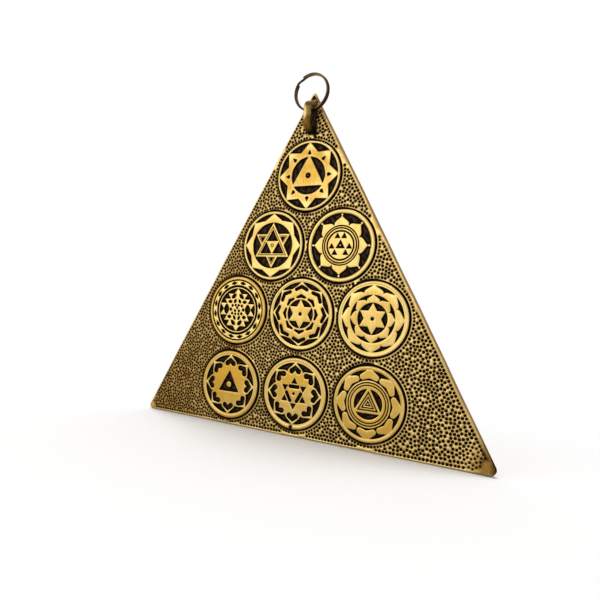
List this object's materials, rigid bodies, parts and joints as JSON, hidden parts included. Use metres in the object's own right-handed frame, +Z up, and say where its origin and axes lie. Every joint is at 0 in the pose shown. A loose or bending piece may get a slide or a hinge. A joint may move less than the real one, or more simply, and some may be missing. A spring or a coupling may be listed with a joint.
{
  "type": "triangular yantra wall hanging",
  "caption": "Triangular brass wall hanging with round yantra medallions set in a pitted plate, a brazed loop at the tip and a split ring to hang it by.",
  "frame": {"origin": "nail seat: the top of the split ring's inside, where a nail or hook carries the hanging, in the middle of the ring's thickness", "axes": "+Z up as it hangs, the medallions face -Y, the flat back faces +Y towards the wall, +X to the right as seen from the front"},
  "size_m": [0.1915, 0.0095, 0.1816],
  "materials": {
    "plate_brass": "cast brass, dark patina in a field of punched pits, polished high spots",
    "medallion_brass": "polished relief over a dark patinated ground",
    "loop_brass": "filed brass, browned round its feet",
    "ring_bronze": "dark bronze-brown tarnished wire"
  },
  "bodies": {
    "ring": {"split_ring": "ring_bronze"},
    "hanging": {"plate": "plate_brass", "medallion_top": "medallion_brass", "medallion_upper_left": "medallion_brass", "medallion_upper_right": "medallion_brass", "medallion_middle_left": "medallion_brass", "medallion_middle_centre": "medallion_brass", "medallion_middle_right": "medallion_brass", "medallion_lower_left": "medallion_brass", "medallion_lower_centre": "medallion_brass", "medallion_lower_right": "medallion_brass", "hanging_loop": "loop_brass"}
  },
  "joints": [
    {"name": "swing_on_ring", "type": "hinge", "parent": "ring", "child": "hanging", "pos_m": [0, 0, -0.01748], "axis": [-1, 0, 0], "range_deg": [-40, 160]}
  ]
}
